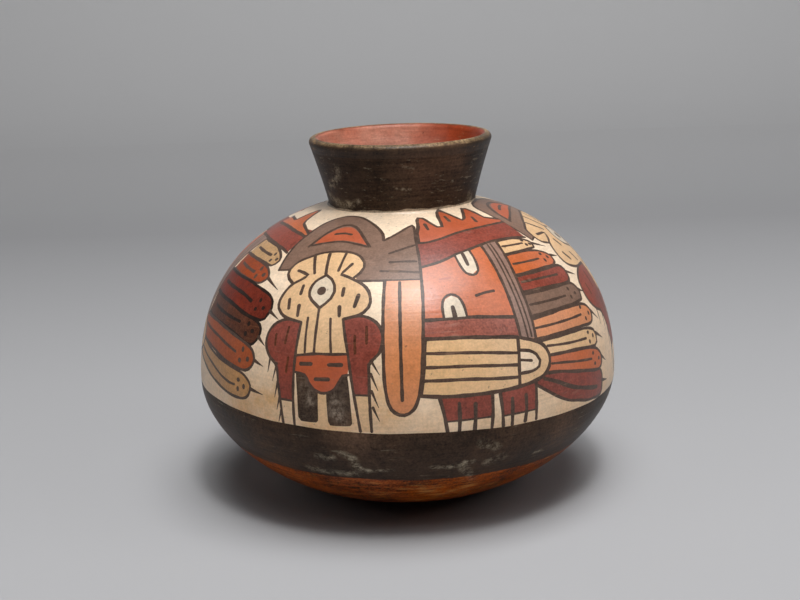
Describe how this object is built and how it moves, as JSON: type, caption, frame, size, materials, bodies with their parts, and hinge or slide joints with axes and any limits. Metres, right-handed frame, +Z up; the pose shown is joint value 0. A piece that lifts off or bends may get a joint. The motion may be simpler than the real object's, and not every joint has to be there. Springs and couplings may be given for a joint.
{
  "type": "collared jar",
  "caption": "Squat round-bodied clay jar with a short flared neck, rounded base and slip-painted shoulder frieze, for holding liquid or dry goods.",
  "frame": {"origin": "on the floor under the jar's axis, at the centre of the small flat under the base", "axes": "+Z up along the jar's axis, -Y towards the viewer of the picture"},
  "size_m": [0.165, 0.165, 0.1403],
  "materials": {
    "ochre_base": "orange-ochre slip, lightly burnished",
    "dark_band": "dark brown-black slip, burnished and scuffed",
    "painted_wall": "cream slip ground with a polychrome slip-painted frieze, burnished",
    "dark_neck": "dark brown slip with level burnishing streaks outside, red slip inside",
    "worn_lip": "dark slip worn through to tan clay"
  },
  "bodies": {
    "root": {"base_dish": "ochre_base", "lower_wall": "dark_band", "girth_wall": "painted_wall", "shoulder_wall": "painted_wall", "neck_coil": "dark_neck", "neck_collar": "dark_neck", "rim_lip": "worn_lip"}
  },
  "joints": []
}
